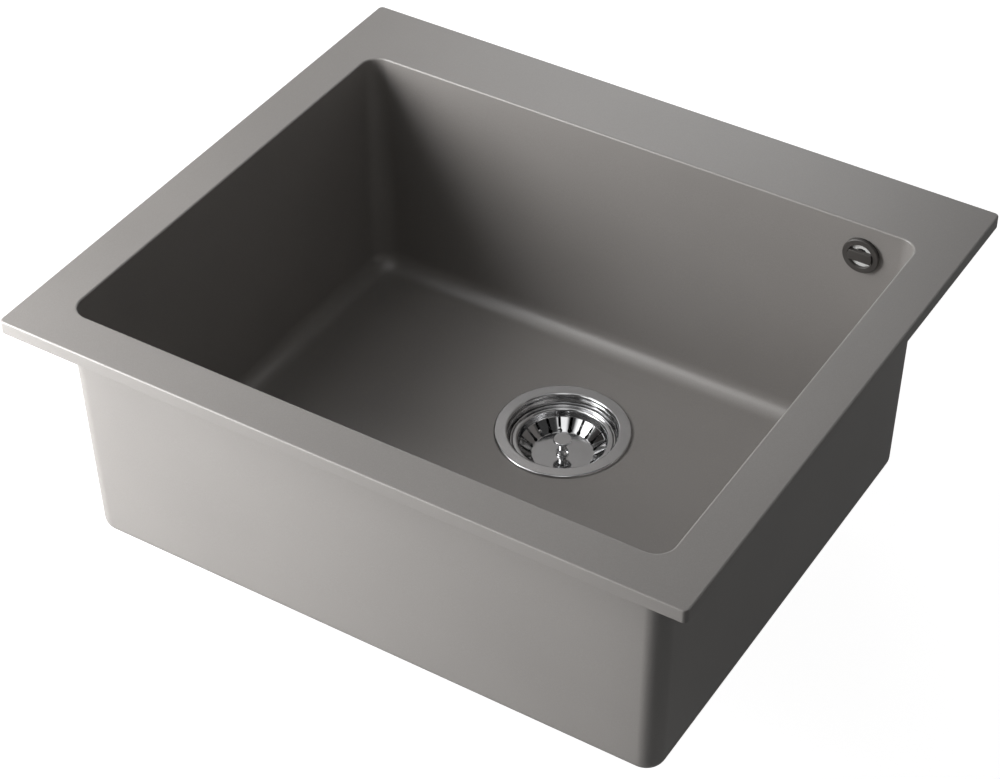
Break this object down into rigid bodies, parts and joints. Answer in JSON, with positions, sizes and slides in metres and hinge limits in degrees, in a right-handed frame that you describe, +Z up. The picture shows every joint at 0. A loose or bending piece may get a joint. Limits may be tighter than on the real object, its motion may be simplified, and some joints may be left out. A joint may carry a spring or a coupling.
{
  "type": "kitchen sink",
  "caption": "Inset single-bowl kitchen sink in grey stone composite, with a lift-out strainer basket waste and an overflow piped to it.",
  "frame": {"origin": "middle of the front strip of the rim's underside, on the plane that rests on the worktop", "axes": "+X to the right along the rim's long side, +Y to the back of the sink, +Z up out of the bowl"},
  "size_m": [0.57, 0.5, 0.2963],
  "materials": {
    "stone_composite": "satin matt, through-coloured grey quartz composite",
    "bright_steel": "polished stainless steel",
    "basket_steel": "polished stainless steel",
    "screw_steel": "plain stainless steel",
    "insert_brass": "turned brass",
    "black_rubber": "matt black rubber",
    "white_plastic": "moulded white polypropylene",
    "dark_trim": "dark anthracite satin trim"
  },
  "bodies": {
    "sink": {"sink_bowl": "stone_composite", "strainer_cup": "bright_steel", "flange_seal": "black_rubber", "body_seal": "black_rubber", "waste_body": "white_plastic", "screw_insert": "insert_brass", "clamp_screw": "screw_steel", "overflow_cover": "dark_trim", "overflow_bar_cap": "dark_trim", "overflow_screw": "screw_steel", "overflow_front_seal": "black_rubber", "overflow_rear_seal": "black_rubber", "overflow_elbow": "white_plastic", "overflow_insert": "insert_brass", "overflow_pipe": "white_plastic", "upper_pipe_nut": "white_plastic", "upper_pipe_seal": "black_rubber", "lower_pipe_nut": "white_plastic", "lower_pipe_seal": "black_rubber"},
    "basket": {"basket": "basket_steel", "basket_seal": "black_rubber", "basket_washer": "screw_steel", "basket_screw": "screw_steel", "basket_knob": "basket_steel"}
  },
  "joints": [
    {"name": "basket_lift", "type": "slide", "parent": "sink", "child": "basket", "axis": [0, 0, 1], "range_m": [0, 0.26]}
  ]
}
